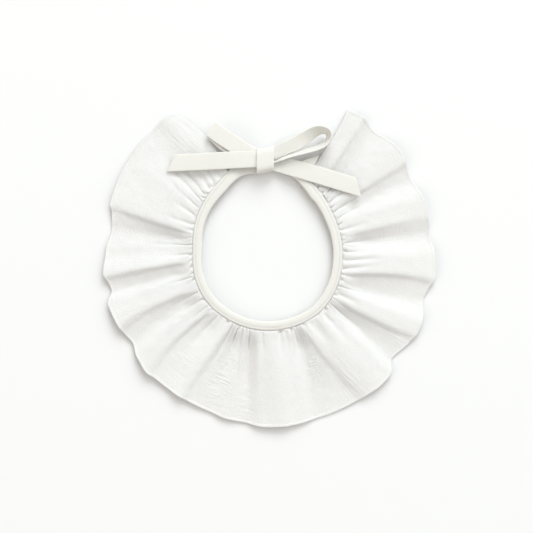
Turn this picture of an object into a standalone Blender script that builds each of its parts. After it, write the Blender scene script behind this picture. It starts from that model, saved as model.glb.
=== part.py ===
"""A child's gathered frill collar, lying flat: one gathered strip of double gauze in a folded tape
binding, whose two ends run on as ties and are tied in a bow. Metres, +Z up, the table at Z = 0."""

from math import cos, pi, radians, sin
from typing import NamedTuple

import bpy
from mathutils import Vector

MM = 0.001

# The neck ring and the cloth
NECK_CENTRE = Vector((-0.7, 13.6))
RING_HEIGHT = 5.5
FRILL_WALL = 1.2
TAPE_WALL = 1.2
BINDING_LEG = 1.0
BINDING_GAP = 1.8
BINDING_THICKNESS = 2 * BINDING_LEG + BINDING_GAP
BINDING_FOLD = 0.8
BINDING_STATIONS = 72
STRAP_THICKNESS = 2.0
STRAP_GAP = 0.6
SLOT_FLOOR = 2.6
FULL_SLOT = 4.4
SEAM_TUCK = 3.2

# The frill's gathers and its mesh
GATHERS = 74
GATHER_HEIGHT = 0.9
GATHER_SHARE = 0.2
COLUMNS_PER_GATHER = 4
TUCKED = -0.05
NEAR_ROWS = (TUCKED, 0.0, 0.06, 0.14, 0.25)
FAR_ROWS = (0.38, 0.53, 0.7, 0.86, 1.0)
SLOT_CLEARANCE = 0.2
FOLDS_FULL = 0.28
MIDDLE_END = 0.4
GATHER_RISE = 0.06
GATHERS_FADE = 0.08
GATHERS_END = 0.4
TROUGH_HEIGHT = 0.5

# The knot
KNOT_BOTTOM, KNOT_TOP = 1.5, 13.2
KNOT_CORNER = 2.6
CORNER_TURNS = (0, 30, 60, 90)

SHARP_EDGE = 40
WHITE = (0.90, 0.90, 0.89, 1.0)
IVORY = (0.89, 0.88, 0.85, 1.0)


class Neck(NamedTuple):
    """The binding's inner edge at one angle, counterclockwise from +X, and the binding's width there."""

    angle: float
    radius: float
    width: float


class Fold(NamedTuple):
    """One line of the frill from neck to hem: its angles, the hem's radius, and two heights."""

    name: str
    neck: float
    middle: float
    hem: float
    reach: float
    middle_height: float
    hem_height: float


class Strap(NamedTuple):
    """One section of a binding end on its way to the knot: its inner edge, height, width and slot depth."""

    x: float
    y: float
    z: float
    across: float
    width: float
    slot: float


class Tape(NamedTuple):
    """One section of a tie: its middle, the direction across it on the table, its lean and its width."""

    x: float
    y: float
    z: float
    across: float
    lean: float
    width: float
    skew: float = 0.0


class Wrap(NamedTuple):
    """One section of the knot: its place along X, its lower and upper end in Y, and how much it bulges."""

    x: float
    low: float
    high: float
    swell: float


NECK = [
    Neck(118.3, 56.7, 8.8),
    Neck(125.0, 54.6, 8.5),
    Neck(134.5, 53.3, 8.0),
    Neck(145.0, 52.6, 7.3),
    Neck(160.0, 51.2, 7.0),
    Neck(180.0, 49.5, 7.0),
    Neck(200.0, 51.8, 6.8),
    Neck(220.0, 53.3, 6.8),
    Neck(250.0, 53.3, 6.8),
    Neck(280.0, 53.3, 6.8),
    Neck(310.0, 53.2, 7.0),
    Neck(330.0, 51.0, 7.2),
    Neck(350.0, 48.8, 7.0),
    Neck(374.0, 47.7, 7.0),
    Neck(390.0, 47.9, 7.1),
    Neck(402.0, 49.2, 7.6),
    Neck(412.0, 50.4, 8.2),
    Neck(423.0, 53.6, 8.6),
]

FOLDS = [
    Fold("left end", 118.3, 119.1, 124.65, 124.0, 3.2, 1.6),
    Fold("end panel crest", 126.0, 125.5, 128.5, 125.3, 5.0, 4.4),
    Fold("first trough", 136.0, 134.5, 133.8, 124.9, 2.0, 0.5),
    Fold("broad panel back", 149.0, 149.0, 150.0, 124.5, 7.2, 5.0),
    Fold("broad panel edge", 167.0, 165.5, 163.5, 124.0, 9.0, 6.5),
    Fold("broad panel foot", 170.0, 169.0, 167.4, 119.6, 0.7, 0.5),
    Fold("second trough", 172.5, 172.7, 172.9, 118.5, 0.5, 0.5),
    Fold("left fold back", 177.5, 178.2, 179.0, 121.9, 6.0, 4.2),
    Fold("left fold edge", 187.3, 188.3, 188.9, 125.3, 9.0, 7.0),
    Fold("left fold foot", 190.6, 191.6, 192.6, 122.0, 0.7, 0.5),
    Fold("third trough", 195.2, 195.4, 195.6, 121.1, 0.5, 0.5),
    Fold("low left back", 198.5, 198.8, 199.2, 126.7, 6.0, 5.0),
    Fold("low left edge", 205.5, 204.6, 203.6, 126.9, 9.0, 7.0),
    Fold("low left foot", 209.5, 208.6, 207.8, 125.0, 0.7, 0.5),
    Fold("fourth trough", 214.5, 215.0, 215.5, 123.2, 0.5, 0.5),
    Fold("lower corner back", 219.5, 219.6, 219.4, 126.8, 5.5, 4.6),
    Fold("lower corner edge", 225.2, 225.0, 225.2, 129.8, 8.5, 6.5),
    Fold("lower corner foot", 228.8, 229.0, 229.4, 128.3, 1.4, 0.8),
    Fold("slight trough", 231.5, 232.4, 232.8, 128.3, 1.8, 1.0),
    Fold("bottom left crest", 239.2, 238.6, 238.0, 128.6, 8.0, 6.0),
    Fold("bottom left foot", 243.0, 242.2, 241.6, 128.3, 1.6, 1.0),
    Fold("crinkled trough", 249.0, 250.0, 250.5, 129.0, 0.5, 0.5),
    Fold("small crest", 254.0, 255.3, 255.5, 130.5, 3.2, 2.6),
    Fold("narrow trough", 258.8, 259.5, 260.0, 130.1, 0.5, 0.5),
    Fold("bottom back", 263.0, 266.0, 268.6, 132.6, 6.3, 5.0),
    Fold("bottom crest", 273.0, 274.0, 275.0, 132.8, 8.0, 6.5),
    Fold("bottom front", 284.0, 281.8, 280.6, 132.2, 4.4, 3.0),
    Fold("flat trough", 290.0, 288.0, 286.0, 131.3, 0.5, 0.5),
    Fold("bottom right foot", 293.2, 295.6, 298.0, 131.1, 0.7, 0.5),
    Fold("bottom right back", 296.6, 298.8, 300.8, 131.3, 6.5, 4.6),
    Fold("bottom right crest", 306.0, 307.3, 308.5, 131.7, 8.5, 6.5),
    Fold("bottom right shoulder", 315.6, 313.8, 313.4, 130.8, 6.6, 5.2),
    Fold("ninth trough", 319.4, 319.4, 319.4, 123.0, 0.5, 0.5),
    Fold("low right foot", 321.8, 324.6, 326.6, 126.4, 0.7, 0.5),
    Fold("low right edge", 324.8, 327.8, 330.3, 128.0, 8.5, 7.0),
    Fold("low right crest", 330.6, 332.4, 334.2, 127.2, 7.6, 5.8),
    Fold("tenth trough", 335.6, 338.6, 343.6, 121.9, 0.5, 0.5),
    Fold("right fold foot", 339.4, 345.6, 346.8, 123.8, 0.7, 0.5),
    Fold("right fold edge", 342.6, 348.8, 350.2, 126.8, 8.5, 6.6),
    Fold("right fold crest", 355.6, 356.2, 357.4, 125.0, 7.2, 5.0),
    Fold("eleventh trough", 364.4, 366.2, 366.6, 121.1, 0.5, 0.5),
    Fold("high right foot", 367.4, 370.0, 369.8, 121.7, 0.7, 0.5),
    Fold("high right edge", 370.8, 373.4, 373.2, 122.3, 8.5, 7.0),
    Fold("high right crest", 380.0, 379.2, 378.6, 122.3, 7.2, 5.4),
    Fold("twelfth trough", 388.4, 388.0, 387.0, 119.3, 0.5, 0.5),
    Fold("top right foot", 391.4, 390.4, 389.6, 119.8, 0.6, 0.5),
    Fold("top right edge", 394.4, 393.2, 392.8, 122.4, 5.4, 6.2),
    Fold("top right crest", 400.4, 398.4, 397.6, 123.8, 5.2, 5.2),
    Fold("last trough", 406.4, 408.6, 409.6, 119.2, 1.0, 0.5),
    Fold("last foot", 409.2, 411.0, 411.6, 120.0, 1.0, 0.5),
    Fold("last panel edge", 412.4, 413.6, 414.2, 123.0, 5.0, 5.0),
    Fold("right end", 423.0, 420.3, 420.7, 120.5, 3.2, 1.6),
]

LEFT_STRAP = [
    Strap(-9.9, 70.1, 4.0, 90.0, 12.4, 0.5),
    Strap(-15.0, 70.4, 3.9, 94.0, 12.2, 0.8),
    Strap(-20.5, 68.7, 4.4, 103.0, 11.2, 1.8),
    Strap(-24.6, 66.2, 5.2, 112.0, 9.8, 7.2),
]

RIGHT_STRAP = [
    Strap(20.6, 65.6, 5.2, 68.0, 9.8, 7.2),
    Strap(16.6, 68.4, 4.4, 74.0, 11.4, 1.8),
    Strap(10.6, 71.2, 3.2, 82.0, 12.3, 0.8),
    Strap(3.7, 72.8, 2.8, 90.0, 12.3, 0.5),
]

LEFT_TAIL = [
    Tape(-9.9, 81.2, 10.2, 91.0, 0.0, 12.6),
    Tape(-18.0, 80.9, 10.4, 92.0, 0.0, 12.7),
    Tape(-28.0, 80.4, 10.4, 92.5, 0.0, 12.8),
    Tape(-38.0, 79.9, 9.6, 92.5, 0.0, 12.8),
    Tape(-48.0, 79.5, 8.4, 92.5, 0.0, 12.8),
    Tape(-60.0, 79.0, 7.8, 92.5, 0.0, 12.8),
    Tape(-73.4, 78.4, 7.0, 92.5, 0.0, 12.8, 3.5),
]

RIGHT_TAIL = [
    Tape(3.7, 79.0, 4.9, 88.0, 0.0, 12.6),
    Tape(9.0, 77.5, 5.4, 76.0, 0.0, 12.7),
    Tape(17.0, 75.0, 7.4, 73.5, 0.0, 12.8),
    Tape(26.0, 72.3, 8.6, 73.3, 0.0, 12.8),
    Tape(38.0, 68.8, 8.6, 73.3, 0.0, 12.8),
    Tape(52.0, 64.6, 8.0, 73.3, 0.0, 12.8),
    Tape(66.4, 60.3, 7.2, 73.3, 0.0, 12.8, 4.2),
]

LEFT_LOOP = [
    Tape(-9.9, 82.2, 8.3, 90.0, 0.0, 12.2),
    Tape(-18.0, 86.8, 8.6, 62.0, 0.0, 12.6),
    Tape(-28.0, 93.3, 8.9, 57.7, 0.0, 12.8),
    Tape(-37.0, 99.2, 8.6, 57.0, 0.0, 12.8),
    Tape(-42.6, 103.1, 8.1, 55.5, 0.0, 12.8),
    Tape(-43.9, 104.1, 7.1, 55.0, 0.0, 12.8),
    Tape(-42.9, 102.9, 6.2, 55.0, 0.0, 12.8),
    Tape(-37.6, 98.6, 5.8, 56.0, 0.0, 12.8),
    Tape(-28.6, 92.2, 6.0, 57.7, 0.0, 12.8),
    Tape(-18.4, 86.0, 6.2, 62.0, 0.0, 12.6),
    Tape(-9.9, 81.8, 6.2, 90.0, 0.0, 12.2),
]

RIGHT_LOOP = [
    Tape(3.7, 85.6, 10.4, 270.0, 16.0, 8.8),
    Tape(12.2, 89.3, 10.0, 292.2, 32.0, 10.8),
    Tape(21.3, 93.4, 9.0, 292.2, 40.0, 12.4),
    Tape(29.9, 98.6, 8.8, 293.0, 49.0, 12.8),
    Tape(37.0, 102.8, 9.0, 304.0, 60.0, 12.8),
    Tape(42.4, 102.0, 9.1, 332.0, 66.0, 12.8),
    Tape(43.6, 98.4, 9.2, 346.0, 70.0, 12.8),
    Tape(41.2, 93.9, 9.4, 318.0, 72.0, 12.8),
    Tape(34.2, 89.2, 9.2, 292.2, 71.0, 12.6),
    Tape(24.4, 86.4, 8.6, 292.2, 66.0, 10.8),
    Tape(14.4, 84.4, 8.0, 292.2, 48.0, 7.6),
    Tape(3.7, 82.6, 7.4, 270.0, 12.0, 6.6),
]

KNOT = [
    Wrap(-9.5, 70.9, 87.8, 0.90),
    Wrap(-8.9, 70.2, 88.5, 0.97),
    Wrap(-3.2, 71.4, 89.8, 1.0),
    Wrap(2.7, 72.6, 90.8, 0.97),
    Wrap(3.3, 73.2, 90.2, 0.90),
]


def clear_scene():
    for item in list(bpy.data.objects):
        bpy.data.objects.remove(item, do_unlink=True)


def cloth(name, colour, roughness):
    material = bpy.data.materials.new(name)
    material.use_nodes = True
    shader = material.node_tree.nodes["Principled BSDF"]
    shader.inputs["Base Color"].default_value = colour
    shader.inputs["Roughness"].default_value = roughness
    shader.inputs["Metallic"].default_value = 0.0
    return material


def add_object(name, points, faces, material, collection):
    """An object of these points, in millimetres, and faces."""
    mesh = bpy.data.meshes.new(name)
    mesh.from_pydata([Vector(point) * MM for point in points], [], faces)
    mesh.materials.append(material)
    mesh.shade_smooth()
    mesh.set_sharp_from_angle(angle=radians(SHARP_EDGE))
    item = bpy.data.objects.new(name, mesh)
    collection.objects.link(item)
    return item


def smooth(t):
    """0 to 1 with level ends."""
    t = min(max(t, 0.0), 1.0)
    return t * t * (3.0 - 2.0 * t)


def mix(a, b, t):
    return a + (b - a) * t


def curve_value(a, b, c, d, t):
    """The Catmull-Rom curve from b to c."""
    return 0.5 * (2 * b + (c - a) * t + (2 * a - 5 * b + 4 * c - d) * t**2 + (3 * b - a - 3 * c + d) * t**3)


def refined(rows, steps):
    """The table's rows with smooth ones between them."""
    kind = type(rows[0])
    out = []
    for i in range(len(rows) - 1):
        four = [rows[max(i - 1, 0)], rows[i], rows[i + 1], rows[min(i + 2, len(rows) - 1)]]
        for step in range(steps):
            values = (curve_value(*column, step / steps) for column in zip(*four))
            out.append(kind(*values))
    return out + [rows[-1]]


def neck_at(angle):
    """The inner radius and the binding's width at an angle."""
    for i in range(len(NECK) - 1):
        if angle <= NECK[i + 1].angle:
            break
    a, b, c, d = NECK[max(i - 1, 0)], NECK[i], NECK[i + 1], NECK[min(i + 2, len(NECK) - 1)]
    t = (angle - b.angle) / (c.angle - b.angle)
    radius = curve_value(a.radius, b.radius, c.radius, d.radius, t)
    return radius, mix(b.width, c.width, t)


def direction(angle):
    return Vector((cos(radians(angle)), sin(radians(angle))))


def fold_places():
    """Where each fold line lies along the strip, in gathers, from the length of hem between the lines."""
    lengths = [0.0]
    for a, b in zip(FOLDS, FOLDS[1:]):
        along = (direction(b.hem) * b.reach - direction(a.hem) * a.reach).length
        lengths.append(lengths[-1] + (along**2 + (b.hem_height - a.hem_height) ** 2) ** 0.5)
    half_gathers = 2 * GATHERS
    places = [round(half_gathers * length / lengths[-1]) for length in lengths]
    for i in range(1, len(places)):
        places[i] = max(places[i], places[i - 1] + 1)
    for i in reversed(range(len(places) - 1)):
        places[i] = min(places[i], places[i + 1] - 1, half_gathers)
    return [place / 2 for place in places]


def three_point(start, middle, end, v):
    """The parabola through three values at v = 0, 0.5 and 1."""
    return start + v * (4 * middle - 3 * start - end) + 2 * v * v * (start + end - 2 * middle)


def frill_point(places, u, v):
    """The frill's mid-wall at u gathers along the strip and v from the binding's edge to the hem."""
    i = max(k for k in range(len(places) - 1) if places[k] <= u)
    a, b = FOLDS[i], FOLDS[i + 1]
    t = (u - places[i]) / (places[i + 1] - places[i])
    angles = [mix(getattr(a, key), getattr(b, key), t) for key in ("neck", "middle", "hem")]
    angle = three_point(*angles, max(v, 0.0))
    inner, width = neck_at(angles[0])
    reach = mix(a.reach, b.reach, smooth(t))
    radius = mix(inner + width + SLOT_CLEARANCE, reach, v) if v >= 0 else inner + SEAM_TUCK
    middle = mix(a.middle_height, b.middle_height, smooth(t))
    hem = mix(a.hem_height, b.hem_height, smooth(t))
    fold = mix(middle, hem, smooth((v - MIDDLE_END) / (1.0 - MIDDLE_END)))
    height = mix(RING_HEIGHT, fold, smooth(v / FOLDS_FULL))
    pitch = radians(b.neck - a.neck) * inner / (places[i + 1] - places[i])
    gather = min(GATHER_HEIGHT, GATHER_SHARE * pitch)
    gather *= smooth(v / GATHER_RISE)
    gather *= 1.0 - smooth((v - GATHERS_FADE) / (GATHERS_END - GATHERS_FADE))
    height = max(height + gather * cos(2 * pi * u), TROUGH_HEIGHT)
    place = NECK_CENTRE + direction(angle) * radius
    return (place.x, place.y, height)


def press_flat(item):
    """Gives the item its wall, and flattens it where it lies on the table."""
    graph = bpy.context.evaluated_depsgraph_get()
    mesh = bpy.data.meshes.new_from_object(item.evaluated_get(graph))
    for vertex in mesh.vertices:
        vertex.co.z = max(vertex.co.z, 0.0)
    item.modifiers.clear()
    item.data = mesh


def make_frill(collection, material):
    places = fold_places()
    near = COLUMNS_PER_GATHER * GATHERS
    far = near // 2
    points, rows = [], []
    for v in NEAR_ROWS + FAR_ROWS:
        count = near if v in NEAR_ROWS else far
        rows.append(range(len(points), len(points) + count + 1))
        points += [frill_point(places, GATHERS * k / count, v) for k in range(count + 1)]
    faces = []
    for low, high in zip(rows, rows[1:]):
        if len(low) == len(high):
            faces += [(low[k], low[k + 1], high[k + 1], high[k]) for k in range(len(low) - 1)]
        else:
            faces += [
                (low[2 * k], low[2 * k + 1], low[2 * k + 2], high[k + 1], high[k])
                for k in range(len(high) - 1)
            ]
    item = add_object("frill", points, [face[::-1] for face in faces], material, collection)
    wall = item.modifiers.new("wall", "SOLIDIFY")
    wall.thickness = FRILL_WALL * MM
    wall.offset = 0.0
    press_flat(item)


def loft(sections):
    """Points and faces of a closed solid through sections of equally many points."""
    count = len(sections[0])
    points = [point for section in sections for point in section]
    faces = []
    for i in range(len(sections) - 1):
        for k in range(count):
            a, b = i * count + k, i * count + (k + 1) % count
            faces.append((a, b, b + count, a + count))
    faces.append(tuple(reversed(range(count))))
    faces.append(tuple(range(len(points) - count, len(points))))
    return points, faces


def facing_out(item):
    """Turns the faces outwards if the solid came out inside out."""
    mesh = item.data
    mesh.calc_loop_triangles()
    volume = 0.0
    for triangle in mesh.loop_triangles:
        a, b, c = (mesh.vertices[k].co for k in triangle.vertices)
        volume += a.dot(b.cross(c))
    if volume < 0:
        mesh.flip_normals()


def binding_section(x, y, z, across, width, slot):
    """A folded tape's section, open outwards over the cloth that it binds."""
    thick = mix(STRAP_THICKNESS, BINDING_THICKNESS, smooth(slot / FULL_SLOT)) / 2
    gap = max(thick - BINDING_LEG, STRAP_GAP / 2)
    outline = [
        (0.0, -thick / 2),
        (BINDING_FOLD, -thick),
        (width, -thick),
        (width, -gap),
        (width - slot, -gap),
        (width - slot, gap),
        (width, gap),
        (width, thick),
        (BINDING_FOLD, thick),
        (0.0, thick / 2),
    ]
    out = direction(across)
    return [(x + out.x * w, y + out.y * w, z + h) for w, h in outline]


def make_binding(collection, material):
    first, last = NECK[0].angle, NECK[-1].angle
    sections = [binding_section(*row) for row in refined(LEFT_STRAP, 2)]
    for k in range(1, BINDING_STATIONS):
        angle = mix(first, last, k / BINDING_STATIONS)
        radius, width = neck_at(angle)
        place = NECK_CENTRE + direction(angle) * radius
        sections.append(binding_section(place.x, place.y, RING_HEIGHT, angle, width, width - SLOT_FLOOR))
    sections += [binding_section(*row) for row in refined(RIGHT_STRAP, 2)]
    facing_out(add_object("neck_binding", *loft(sections), material, collection))


def tape_sections(rows):
    centres = [Vector(row[:3]) for row in rows]
    sections = []
    for i, row in enumerate(rows):
        ahead = (centres[min(i + 1, len(rows) - 1)] - centres[max(i - 1, 0)]).normalized()
        flat = direction(row.across)
        lean = radians(row.lean)
        across = Vector((flat.x * cos(lean), flat.y * cos(lean), sin(lean)))
        normal = ahead.cross(across).normalized() * (TAPE_WALL / 2)
        edge = across * (row.width / 2) - ahead * row.skew
        corners = (-edge - normal, edge - normal, edge + normal, normal - edge)
        sections.append([centres[i] + corner for corner in corners])
    return sections


def make_tape(name, rows, steps, collection, material):
    sections = tape_sections(refined(rows, steps))
    facing_out(add_object(name, *loft(sections), material, collection))


def make_knot(collection, material):
    sections = []
    for row in KNOT:
        half_y = (row.high - row.low) / 2
        half_z = (KNOT_TOP - KNOT_BOTTOM) / 2 * row.swell
        middle_y, middle_z = (row.low + row.high) / 2, (KNOT_BOTTOM + KNOT_TOP) / 2
        ring = []
        for corner, (sy, sz) in enumerate(((1, 1), (-1, 1), (-1, -1), (1, -1))):
            for part_turn in CORNER_TURNS:
                turn = radians(90 * corner + part_turn)
                y = middle_y + sy * (half_y - KNOT_CORNER) + KNOT_CORNER * cos(turn)
                z = middle_z + sz * (half_z - KNOT_CORNER) + KNOT_CORNER * sin(turn)
                ring.append((row.x, y, z))
        sections.append(ring)
    facing_out(add_object("bow_knot", *loft(sections), material, collection))


def main():
    clear_scene()
    collection = bpy.data.collections.new("frill collar")
    bpy.context.scene.collection.children.link(collection)
    gauze = cloth("white gauze", WHITE, 0.95)
    tape = cloth("ivory tape", IVORY, 0.9)
    make_frill(collection, gauze)
    make_binding(collection, tape)
    make_knot(collection, tape)
    make_tape("bow_loop_left", LEFT_LOOP, 2, collection, tape)
    make_tape("bow_loop_right", RIGHT_LOOP, 3, collection, tape)
    make_tape("bow_tail_left", LEFT_TAIL, 2, collection, tape)
    make_tape("bow_tail_right", RIGHT_TAIL, 2, collection, tape)


main()
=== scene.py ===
"""A child's gathered frill collar of white double gauze, laid flat, with its tape ties tied in a bow.

The cloth is made as fine thin shells on the forms of the solids. Sizes are in millimetres in the tables
below and become metres when a mesh is made. The ground that the collar lies on is at Z = 0. Only the
sheets' cuts, TAPE_WIDTH and the studio's sizes are in metres.
"""

from __future__ import annotations

import logging
import math
from dataclasses import dataclass, field
from enum import Enum
from typing import NamedTuple, Sequence

import bpy
import numpy as np
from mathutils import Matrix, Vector

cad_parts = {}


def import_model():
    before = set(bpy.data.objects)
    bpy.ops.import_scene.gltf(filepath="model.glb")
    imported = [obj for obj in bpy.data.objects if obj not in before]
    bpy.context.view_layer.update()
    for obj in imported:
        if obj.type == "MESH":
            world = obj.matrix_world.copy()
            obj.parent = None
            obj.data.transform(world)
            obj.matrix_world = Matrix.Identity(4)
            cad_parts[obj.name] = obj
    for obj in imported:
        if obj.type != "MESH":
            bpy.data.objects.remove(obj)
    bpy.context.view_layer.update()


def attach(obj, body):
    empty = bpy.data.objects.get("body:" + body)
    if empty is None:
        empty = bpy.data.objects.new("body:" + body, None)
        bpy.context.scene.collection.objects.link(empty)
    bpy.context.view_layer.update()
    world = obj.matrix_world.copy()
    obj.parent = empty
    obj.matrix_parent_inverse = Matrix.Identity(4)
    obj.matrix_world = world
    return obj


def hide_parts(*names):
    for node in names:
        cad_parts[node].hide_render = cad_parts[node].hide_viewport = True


LOG = logging.getLogger("frill_collar")
MM = 0.001
BODY = "root"

NECK_CENTRE = np.array([-0.7, 13.6])
RING_HEIGHT = 5.5
FRILL_DEPTH = 69.0
TAPE_WIDTH = 0.0128
SEED = 7


class Slot(Enum):
    """The record's material slots."""

    GAUZE = "gauze"
    TAPE = "tape"


class Hold(Enum):
    """How a piece of cloth is held."""

    GATHERED = "gathered"
    FOLDED = "folded"


class Neck(NamedTuple):
    """The binding's inner edge at one place round the neck.

    Attributes:
        angle: Degrees counterclockwise from +X, about the neck's centre.
        radius: How far the inner edge is from the centre.
        width: The binding's width there.
    """

    angle: float
    radius: float
    width: float


class Fold(NamedTuple):
    """One line of the frill from neck to hem, along the crest or the foot of a fold.

    Attributes:
        name: Where it lies.
        neck: Its angle at the neck, in degrees.
        middle: Its angle halfway out.
        hem: Its angle at the hem.
        reach: The hem's distance from the neck's centre.
        middle_height: Its height halfway out.
        hem_height: Its height at the hem.
    """

    name: str
    neck: float
    middle: float
    hem: float
    reach: float
    middle_height: float
    hem_height: float


class Crease(NamedTuple):
    """A long gather that runs out into the frill.

    Attributes:
        neck: The angle that it leaves the neck from, in degrees.
        reach: How far it runs, from 0 at the binding to 1 at the hem.
        depth: How deep it is.
        drift: How many gathers it moves sideways on its way.
    """

    neck: float
    reach: float
    depth: float
    drift: float


class Ripple(NamedTuple):
    """A patch of crinkled gauze.

    Attributes:
        angle: Its middle, in degrees.
        angle_spread: Its spread round the neck, in degrees.
        middle: Its middle between the binding at 0 and the hem at 1.
        spread: Its spread between binding and hem.
        ribs: How strong its crinkles from neck to hem are.
        bars: How strong its crinkles along the strip are.
    """

    angle: float
    angle_spread: float
    middle: float
    spread: float
    ribs: float
    bars: float


class Strap(NamedTuple):
    """One section of a binding end on its way to the knot.

    Attributes:
        x: Its inner edge's place along X.
        y: Its inner edge's place along Y.
        z: Its middle's height.
        across: The direction from its inner to its outer edge, in degrees.
        width: Its width.
        slot: How deep the slot for the frill is.
    """

    x: float
    y: float
    z: float
    across: float
    width: float
    slot: float


class Tape(NamedTuple):
    """One section of a tie.

    Attributes:
        x: Its middle's place along X.
        y: Its middle's place along Y.
        z: Its middle's height.
        across: The direction across it as seen from above, in degrees.
        lean: How far that direction rises from the table, in degrees.
        width: Its width.
        skew: How far a slanted cut sets its edges forward and back.
    """

    x: float
    y: float
    z: float
    across: float
    lean: float
    width: float
    skew: float = 0.0


class Wrap(NamedTuple):
    """One section of the knot.

    Attributes:
        x: Its place along X.
        low: Its lower end in Y.
        high: Its upper end in Y.
        swell: Its height, as a share of the knot's.
    """

    x: float
    low: float
    high: float
    swell: float


NECK = [
    Neck(118.3, 56.7, 8.8),
    Neck(125.0, 54.6, 8.5),
    Neck(134.5, 53.3, 8.0),
    Neck(145.0, 52.6, 7.3),
    Neck(160.0, 51.2, 7.0),
    Neck(180.0, 49.5, 7.0),
    Neck(200.0, 51.8, 6.8),
    Neck(220.0, 53.3, 6.8),
    Neck(250.0, 53.3, 6.8),
    Neck(280.0, 53.3, 6.8),
    Neck(310.0, 53.2, 7.0),
    Neck(330.0, 51.0, 7.2),
    Neck(350.0, 48.8, 7.0),
    Neck(374.0, 47.7, 7.0),
    Neck(390.0, 47.9, 7.1),
    Neck(402.0, 49.2, 7.6),
    Neck(412.0, 50.4, 8.2),
    Neck(423.0, 53.6, 8.6),
]

FOLDS = [
    Fold("left end", 117.4, 118.6, 124.65, 124.0, 2.6, 1.6),
    Fold("end panel crest", 126.0, 125.5, 128.5, 125.3, 4.2, 3.0),
    Fold("first trough", 136.0, 134.5, 133.8, 124.9, 2.4, 1.4),
    Fold("broad panel back", 149.0, 149.0, 150.0, 124.5, 6.4, 3.2),
    Fold("broad panel edge", 167.6, 166.2, 164.6, 123.6, 7.8, 4.6),
    Fold("broad panel foot", 168.6, 167.0, 165.6, 120.6, 4.6, 3.0),
    Fold("second trough", 173.0, 172.8, 172.6, 118.5, 1.8, 0.6),
    Fold("left fold back", 178.5, 179.6, 180.6, 121.9, 4.2, 3.2),
    Fold("left fold edge", 188.0, 188.9, 189.5, 125.0, 7.8, 6.4),
    Fold("left fold foot", 189.4, 189.8, 190.6, 122.6, 4.8, 3.2),
    Fold("third trough", 195.2, 195.0, 194.8, 121.1, 2.2, 1.2),
    Fold("low left back", 199.2, 198.8, 198.4, 126.9, 5.0, 4.8),
    Fold("low left edge", 208.8, 206.2, 208.0, 126.0, 7.6, 6.8),
    Fold("low left foot", 210.2, 207.6, 209.4, 125.0, 4.8, 3.8),
    Fold("fourth trough", 214.5, 213.6, 214.4, 123.2, 1.4, 1.8),
    Fold("lower corner back", 219.5, 219.0, 219.4, 127.2, 4.8, 4.8),
    Fold("lower corner edge", 225.8, 223.6, 225.6, 129.8, 6.6, 6.4),
    Fold("lower corner foot", 227.4, 225.4, 228.0, 128.3, 3.6, 4.2),
    Fold("slight trough", 231.5, 231.0, 233.0, 128.3, 2.6, 3.0),
    Fold("bottom left crest", 242.6, 240.6, 239.2, 128.6, 6.6, 5.8),
    Fold("bottom left foot", 244.2, 242.2, 240.8, 128.3, 3.6, 3.4),
    Fold("crinkled trough", 249.0, 250.0, 250.5, 129.0, 0.9, 1.6),
    Fold("small crest", 254.0, 255.3, 255.5, 130.5, 3.2, 3.2),
    Fold("narrow trough", 258.8, 260.5, 262.0, 130.6, 0.7, 1.2),
    Fold("bottom back", 263.4, 266.0, 268.0, 132.6, 5.6, 4.0),
    Fold("bottom crest", 273.0, 274.0, 275.4, 132.8, 6.8, 5.2),
    Fold("bottom front", 284.0, 281.8, 280.6, 132.2, 4.2, 3.0),
    Fold("flat trough", 290.0, 288.0, 286.0, 131.3, 0.9, 0.7),
    Fold("bottom right foot", 292.6, 296.8, 301.0, 131.1, 2.6, 1.6),
    Fold("bottom right back", 294.8, 299.4, 304.2, 131.3, 5.2, 4.0),
    Fold("bottom right crest", 306.0, 307.3, 308.5, 131.7, 7.2, 5.4),
    Fold("bottom right shoulder", 315.6, 314.8, 314.4, 130.8, 5.8, 4.4),
    Fold("ninth trough", 319.4, 319.0, 318.6, 123.0, 0.9, 0.7),
    Fold("low right foot", 322.8, 325.2, 328.0, 126.4, 3.6, 2.4),
    Fold("low right edge", 324.2, 326.5, 329.9, 128.0, 7.2, 5.0),
    Fold("low right crest", 330.6, 332.4, 334.2, 127.2, 6.8, 5.2),
    Fold("tenth trough", 335.6, 338.6, 342.4, 121.9, 0.9, 0.7),
    Fold("right fold foot", 341.4, 347.4, 347.8, 123.8, 3.8, 2.6),
    Fold("right fold edge", 342.4, 348.6, 349.4, 126.6, 7.2, 5.0),
    Fold("right fold crest", 355.6, 356.2, 357.4, 125.0, 6.2, 4.4),
    Fold("eleventh trough", 364.4, 365.4, 365.6, 121.1, 0.9, 0.7),
    Fold("high right foot", 369.0, 370.4, 370.0, 121.9, 4.4, 3.0),
    Fold("high right edge", 370.0, 371.4, 371.4, 122.3, 6.6, 4.6),
    Fold("high right crest", 380.0, 379.2, 378.6, 122.3, 6.2, 4.8),
    Fold("twelfth trough", 387.4, 387.4, 386.6, 119.3, 0.9, 0.7),
    Fold("top right foot", 391.6, 391.4, 391.0, 120.2, 2.6, 2.4),
    Fold("top right edge", 393.4, 392.6, 392.4, 122.2, 4.8, 5.2),
    Fold("top right crest", 400.4, 398.4, 397.6, 123.8, 4.8, 4.8),
    Fold("last trough", 405.4, 408.0, 409.0, 119.2, 1.4, 0.8),
    Fold("last foot", 409.6, 411.8, 412.4, 120.6, 2.4, 2.0),
    Fold("last panel edge", 411.6, 413.0, 413.8, 122.8, 4.6, 4.4),
    Fold("right end", 423.0, 420.3, 420.7, 120.5, 3.2, 1.6),
]

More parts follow.
